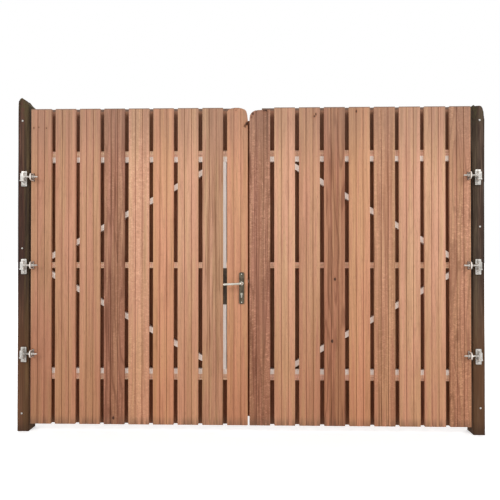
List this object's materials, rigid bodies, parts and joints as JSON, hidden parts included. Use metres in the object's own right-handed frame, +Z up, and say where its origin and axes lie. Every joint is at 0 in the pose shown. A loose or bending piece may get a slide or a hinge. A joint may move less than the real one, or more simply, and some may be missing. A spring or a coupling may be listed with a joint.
{
  "type": "wooden double gate",
  "caption": "Double driveway gate with grooved hardwood boards on braced steel frames, pin-and-eye hinges on two posts, and a lever lock.",
  "frame": {"origin": "centre of the left post's foot, at ground level", "axes": "+X across the gateway to the right post, +Y to the back of the gate, +Z up"},
  "size_m": [3.166, 0.168, 2.285],
  "materials": {
    "post_wood": "dark weathered hardwood with a green tinge",
    "board_wood": "oiled hardwood, pinkish tan, each board its own tone",
    "shaded_wood": "brown hardwood, less faded than the front",
    "batten_wood": "sawn hardwood",
    "galvanised_steel": "hot-dip galvanised, matt with faint spangle",
    "lock_steel": "dark coated steel",
    "plate_metal": "dull weathered aluminium",
    "lever_metal": "satin, worn bright",
    "cylinder_metal": "nickel-plated, dull"
  },
  "bodies": {
    "root": {"left_post": "post_wood", "right_post": "post_wood", "left_hinge_brackets": "galvanised_steel", "right_hinge_brackets": "galvanised_steel"},
    "left_leaf": {"left_front_board_1": "board_wood", "left_front_board_2": "board_wood", "left_front_board_3": "board_wood", "left_front_board_4": "board_wood", "left_front_board_5": "board_wood", "left_front_board_6": "board_wood", "left_front_board_7": "board_wood", "left_front_board_8": "board_wood", "left_front_board_9": "board_wood", "left_back_boards": "shaded_wood", "left_battens": "batten_wood", "left_top_rail": "galvanised_steel", "left_bottom_rail": "galvanised_steel", "left_hinge_stile": "galvanised_steel", "left_closing_stile": "galvanised_steel", "left_braces": "galvanised_steel", "left_eye_bolts": "galvanised_steel", "lock_case": "lock_steel", "front_handle_plate": "plate_metal", "back_handle_plate": "plate_metal", "lock_cylinder": "cylinder_metal"},
    "right_leaf": {"right_front_board_1": "board_wood", "right_front_board_2": "board_wood", "right_front_board_3": "board_wood", "right_front_board_4": "board_wood", "right_front_board_5": "board_wood", "right_front_board_6": "board_wood", "right_front_board_7": "board_wood", "right_front_board_8": "board_wood", "right_front_board_9": "board_wood", "right_back_boards": "shaded_wood", "right_battens": "batten_wood", "right_top_rail": "galvanised_steel", "right_bottom_rail": "galvanised_steel", "right_hinge_stile": "galvanised_steel", "right_closing_stile": "galvanised_steel", "right_braces": "galvanised_steel", "right_eye_bolts": "galvanised_steel", "meeting_cover": "shaded_wood", "strike_box": "galvanised_steel"},
    "lever": {"lever_handles": "lever_metal"}
  },
  "joints": [
    {"name": "left_leaf_hinge", "type": "hinge", "parent": "root", "child": "left_leaf", "pos_m": [0.007, -0.085, 1.136], "axis": [0, 0, -1], "range_deg": [0, 170]},
    {"name": "right_leaf_hinge", "type": "hinge", "parent": "root", "child": "right_leaf", "pos_m": [3.079, -0.085, 1.136], "axis": [0, 0, 1], "range_deg": [0, 170]},
    {"name": "lever_turn", "type": "hinge", "parent": "left_leaf", "child": "lever", "pos_m": [1.496, -0.055, 1.013], "axis": [0, -1, 0], "range_deg": [0, 40], "stiffness_Nm_per_rad": 2, "springref_deg": -20.05}
  ]
}
